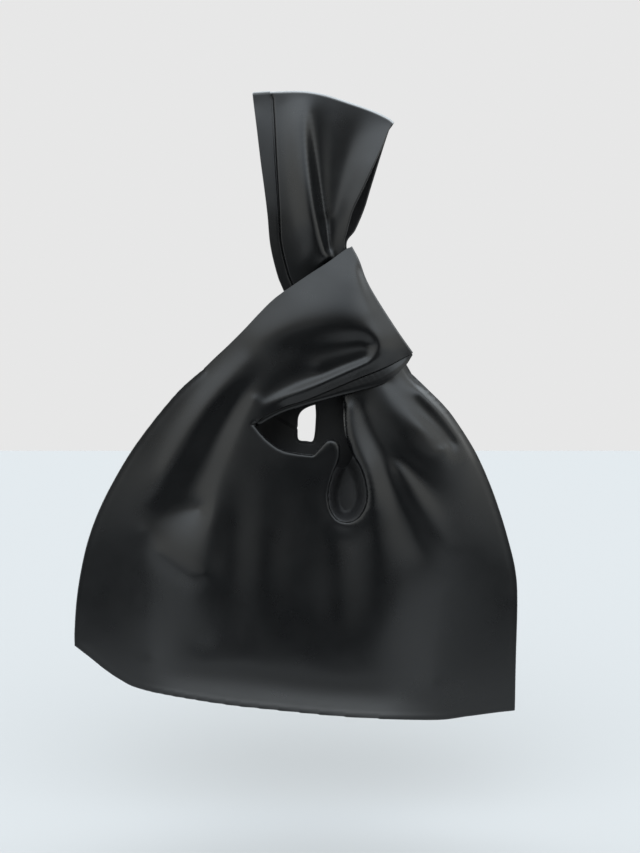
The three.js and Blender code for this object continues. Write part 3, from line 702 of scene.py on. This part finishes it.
loop_front, facing_front = half_loop("front", FOOT_LINE, TOP_LINE, ROOT, loop_height, front_height, 1)
loop_back, facing_back = half_loop("back", BACK_FOOT_LINE, BACK_TOP_LINE, BACK_ROOT, back_loop_height,
                                   back_height, -1)
hem_front = hem("front", spline(HEM_FOOT, 1.0), FOOT_LINE - HEM_TUCK, loop_height, FOOT_LINE, HEM_PROFILE, 1)
hem_back = hem("back", BACK_FOOT_LINE, BACK_FOOT_LINE - BACK_HEM_REACH, back_loop_height, BACK_FOOT_LINE,
               BACK_HEM_PROFILE, -1)

# Long strap: its loop over the hook, with its facing and hem

STRAP_ROWS = 130
STRAP_COLUMNS = np.unique(np.r_[np.linspace(0, 1, 76), np.linspace(HEM_SHARE - 0.02, HEM_SHARE + 0.06, 33)])
STRAP_HEM_COLUMNS = np.linspace(0, HEM_SHARE - 0.004, 9)
STRAP_HEM_LIFT = 0.6  # mm


def strap_surface(columns):
    """Points of the strap, up the front, over the crown and down the back, and their faces."""
    rise = ease(STRAP_ROWS)
    wide = np.tile(columns, len(rise))
    halves = []
    for right, surface, side in ((RIGHT_LINE, STRAP, 1), (BACK_RIGHT_LINE, STRAP_BACK, -1)):
        ends = np.array([STRAP_LEFT[0], STRAP_RIGHT[0]], float)
        p = patch(ends, CROWN_LINE, LEFT_LINE, right, columns, rise).reshape(-1, 2)
        face = place(p, side * strap_form(surface, p, wide))
        halves.append(face.reshape(len(rise), len(columns), 3))
    points = np.concatenate([halves[0], halves[1][-2::-1]], 0)
    return points.reshape(-1, 3), grid_faces(*points.shape[:2])


points, faces = strap_surface(STRAP_COLUMNS)
strap = shell("long_strap_outer", points, faces, OUTER_THICK * MM, OUTER, LINING)
strap_facing = shell("long_strap_inner", points, faces, LINING_THICK * MM, LINING, LINING,
                     lift=-FACING_DROP * MM)
points, faces = strap_surface(STRAP_HEM_COLUMNS)
strap_hem = shell("long_strap_hem", points, faces, STRAP_HEM_LIFT * MM, OUTER, OUTER,
                  lift=STRAP_HEM_LIFT * MM)

# What each piece stands for; the pouch's pieces ride on the bag

stands_for = {
    front: ["front_panel"], back: ["back_panel"],
    front_lining: ["front_lining"], back_lining: ["back_lining"],
    loop_front: ["short_strap_front"], loop_back: ["short_strap_back"],
    facing_front: ["short_strap_facing_front"], facing_back: ["short_strap_facing_back"],
    hem_front: ["short_strap_hem_front"], hem_back: ["short_strap_hem_back"],
    strap: ["long_strap_front", "long_strap_back", "long_strap_gather"],
    strap_facing: ["long_strap_facing"], strap_hem: ["long_strap_hem_front", "long_strap_hem_back"],
}
for piece, nodes in stands_for.items():
    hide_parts(*nodes)
for piece in (front, back, front_lining, back_lining):
    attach(piece, "bag")
for piece in (loop_front, facing_front, hem_front):
    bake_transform(piece)
for piece in (loop_back, facing_back, hem_back):
    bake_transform(piece)
for piece in (strap, strap_facing, strap_hem):
    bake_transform(piece)

# Floor, light and camera

PALE = 0.80  # how bright the background looks
FLOOR_LEVEL, FLOOR_REACH = -0.585, 8.0
FLOOR_SEEN, FLOOR_LIT, FLOOR_PAINTED_SHADE = 0.49, 0.46, 0.04  # the floor as seen, in the bag's sheen, and painted dark in front as shade
SHADE_FROM, SHADE_BESIDE = (-0.52, -0.30), (0.8, 1.4)  # where the floor's painted shade in front ends, along Y and to both sides
floor_mesh = bpy.data.meshes.new("floor")
corners = [(-1, -1), (1, -1), (1, 1), (-1, 1)]
floor_points = [(x * FLOOR_REACH, y * FLOOR_REACH, FLOOR_LEVEL) for x, y in corners]
floor_mesh.from_pydata(floor_points, [], [(0, 1, 2, 3)])
floor = bpy.data.objects.new("floor", floor_mesh)
bpy.context.scene.collection.objects.link(floor)
white = bpy.data.materials.new("floor_white")
white.use_nodes = True
nodes, links = white.node_tree.nodes, white.node_tree.links
shader = nodes["Principled BSDF"]
shader.inputs["Roughness"].default_value = 1.0
shader.inputs["Specular IOR Level"].default_value = 0.0
where = nodes.new("ShaderNodeNewGeometry")
split = nodes.new("ShaderNodeSeparateXYZ")
links.new(where.outputs["Position"], split.inputs[0])
# Painted shade: for rays other than the camera's, the floor is painted dark in a stretch in front of the bag,
# standing in for the dim room there
near = ranged(nodes, links, split.outputs["Y"], 1.0, 0.0, SHADE_FROM, "SMOOTHSTEP")
aside = nodes.new("ShaderNodeMath")
aside.operation = "ABSOLUTE"
links.new(split.outputs["X"], aside.inputs[0])
middle = ranged(nodes, links, aside.outputs[0], 1.0, 0.0, SHADE_BESIDE, "SMOOTHSTEP")
painted_shade_mask = nodes.new("ShaderNodeMath")
painted_shade_mask.operation = "MULTIPLY"
links.new(near, painted_shade_mask.inputs[0])
links.new(middle, painted_shade_mask.inputs[1])
sheen_floor_with_shade = ranged(nodes, links, painted_shade_mask.outputs[0], FLOOR_LIT, FLOOR_PAINTED_SHADE)
path = nodes.new("ShaderNodeLightPath")
seen = nodes.new("ShaderNodeMix")
seen.data_type = "FLOAT"
links.new(path.outputs["Is Camera Ray"], seen.inputs["Factor"])
links.new(sheen_floor_with_shade, seen.inputs["A"])
seen.inputs["B"].default_value = FLOOR_SEEN
grey = nodes.new("ShaderNodeCombineColor")
for channel in ("Red", "Green", "Blue"):
    links.new(seen.outputs["Result"], grey.inputs[channel])
links.new(grey.outputs["Color"], shader.inputs["Base Color"])
floor_mesh.materials.append(white)

# Light: a pale room, dark in front where nothing lights the bag, and brightest overhead
FRONT_LIGHT, FRONT_DARK, SIDE_LIGHT, BACK_LIGHT, TOP_LIGHT = 0.32, 0.03, 0.74, 0.25, 1.35
ROOM_COLOUR, TOP_COLOUR = (0.98, 1, 0.97, 1), (0.86, 0.99, 1.13, 1)
FRONT_SPAN, SIDE_SPAN, BACK_SPAN = (0.92, 0.995), (0.60, 0.92), (0.4, 0.9)  # by a direction's share along Y
TOP_SPAN, OVERHEAD_SPAN = (0.32, 0.73), (0.0, 0.35)  # by its share along Z, and by that along Y
world = bpy.data.worlds.new("studio")
bpy.context.scene.world = world
world.use_nodes = True
nodes, links = world.node_tree.nodes, world.node_tree.links
where = nodes.new("ShaderNodeTexCoord")
split = nodes.new("ShaderNodeSeparateXYZ")
links.new(where.outputs["Generated"], split.inputs[0])
room = nodes["Background"]
room.inputs["Color"].default_value = ROOM_COLOUR
away = nodes.new("ShaderNodeMath")
away.operation = "ABSOLUTE"
links.new(split.outputs["Y"], away.inputs[0])
straight = ranged(nodes, links, away.outputs[0], FRONT_LIGHT, FRONT_DARK, FRONT_SPAN, "SMOOTHSTEP")
beside = ranged(nodes, links, away.outputs[0], SIDE_LIGHT, 0.0, SIDE_SPAN, "SMOOTHSTEP")
behind = ranged(nodes, links, split.outputs["Y"], 0.0, BACK_LIGHT, BACK_SPAN, "SMOOTHSTEP")
walls = nodes.new("ShaderNodeMath")
links.new(straight, walls.inputs[0])
links.new(beside, walls.inputs[1])
level = nodes.new("ShaderNodeMath")
links.new(walls.outputs[0], level.inputs[0])
links.new(behind, level.inputs[1])
links.new(level.outputs[0], room.inputs["Strength"])
ceiling = nodes.new("ShaderNodeBackground")
ceiling.inputs["Color"].default_value = TOP_COLOUR
high = ranged(nodes, links, split.outputs["Z"], 0.0, TOP_LIGHT, TOP_SPAN, "SMOOTHSTEP")
ahead = ranged(nodes, links, away.outputs[0], 0.0, 1.0, OVERHEAD_SPAN, "SMOOTHSTEP")
lamp = nodes.new("ShaderNodeMath")
lamp.operation = "MULTIPLY"
links.new(high, lamp.inputs[0])
links.new(ahead, lamp.inputs[1])
links.new(lamp.outputs[0], ceiling.inputs["Strength"])
both = nodes.new("ShaderNodeAddShader")
links.new(room.outputs[0], both.inputs[0])
links.new(ceiling.outputs[0], both.inputs[1])
backdrop = nodes.new("ShaderNodeBackground")
backdrop.inputs["Color"].default_value = (1, 1, 1, 1)
backdrop.inputs["Strength"].default_value = PALE
path = nodes.new("ShaderNodeLightPath")
shown = nodes.new("ShaderNodeMixShader")
links.new(path.outputs["Is Camera Ray"], shown.inputs[0])
links.new(both.outputs[0], shown.inputs[1])
links.new(backdrop.outputs[0], shown.inputs[2])
links.new(shown.outputs[0], nodes["World Output"].inputs["Surface"])

camera_data = bpy.data.cameras.new("camera")
camera_data.sensor_fit = "VERTICAL"
camera_data.sensor_height = 36
camera_data.lens = FOCAL / HEIGHT * camera_data.sensor_height
camera = bpy.data.objects.new("camera", camera_data)
camera.location = EYE
camera.rotation_euler = (np.pi / 2, 0, 0)
bpy.context.scene.collection.objects.link(camera)
bpy.context.scene.camera = camera
bpy.context.scene.view_settings.view_transform = "Standard"
